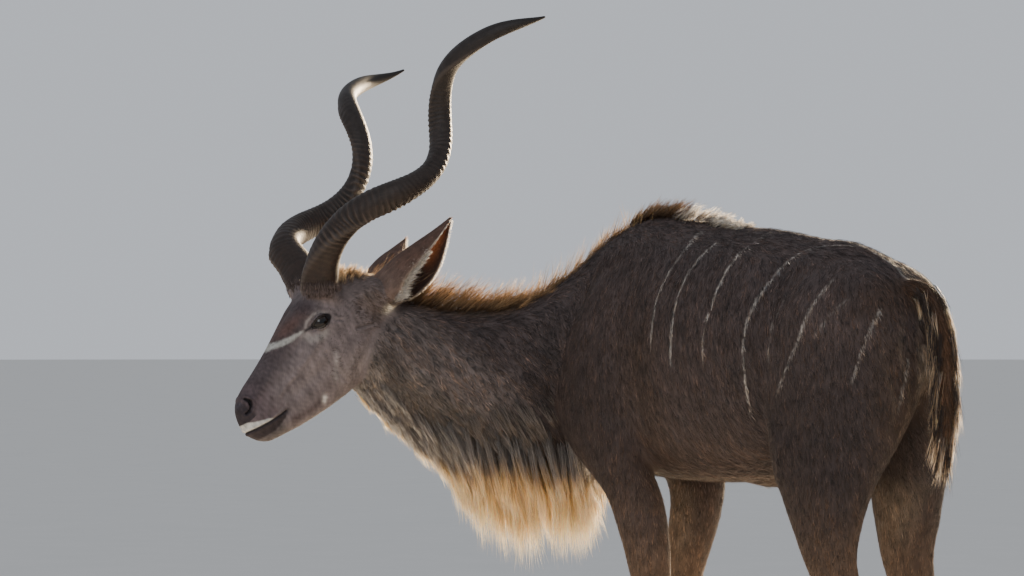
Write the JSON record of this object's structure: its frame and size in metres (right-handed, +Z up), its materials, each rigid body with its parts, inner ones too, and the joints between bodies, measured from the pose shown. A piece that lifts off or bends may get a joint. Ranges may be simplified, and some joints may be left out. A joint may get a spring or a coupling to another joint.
{
  "type": "greater kudu bull",
  "caption": "Life-size standing greater kudu bull with spiral horns, neck bent to its left and head lowered, throat beard and striped flanks.",
  "frame": {"origin": "on the ground, at the middle of the plan of the whole animal's bounding box", "axes": "+X from the chest to the tail along the trunk, -Y towards the animal's left side, +Z up"},
  "size_m": [1.8802, 1.036, 1.8067],
  "materials": {
    "body_coat": "short grey-brown coat with thin white stripes",
    "neck_coat": "grey coat, brown mane, pale throat beard",
    "face_coat": "fine mauve-grey coat with white marks",
    "leg_coat": "short tan coat",
    "tail_coat": "long dark hair with a pale edge",
    "horn": "ridged grey-brown horn",
    "hoof": "dark smooth horn",
    "eye": "wet and dark"
  },
  "bodies": {
    "root": {"crest": "neck_coat", "ear_left": "body_coat", "ear_right": "body_coat", "eye_left": "eye", "eye_right": "eye", "forehoof_left_inner": "hoof", "forehoof_left_outer": "hoof", "forehoof_right_inner": "hoof", "forehoof_right_outer": "hoof", "foreleg_left": "leg_coat", "foreleg_right": "leg_coat", "head": "face_coat", "hindhoof_left_inner": "hoof", "hindhoof_left_outer": "hoof", "hindhoof_right_inner": "hoof", "hindhoof_right_outer": "hoof", "hindleg_left": "leg_coat", "hindleg_right": "leg_coat", "horn_left": "horn", "horn_right": "horn", "neck_lower": "neck_coat", "neck_upper": "neck_coat", "tail": "tail_coat", "torso": "body_coat"}
  },
  "joints": []
}
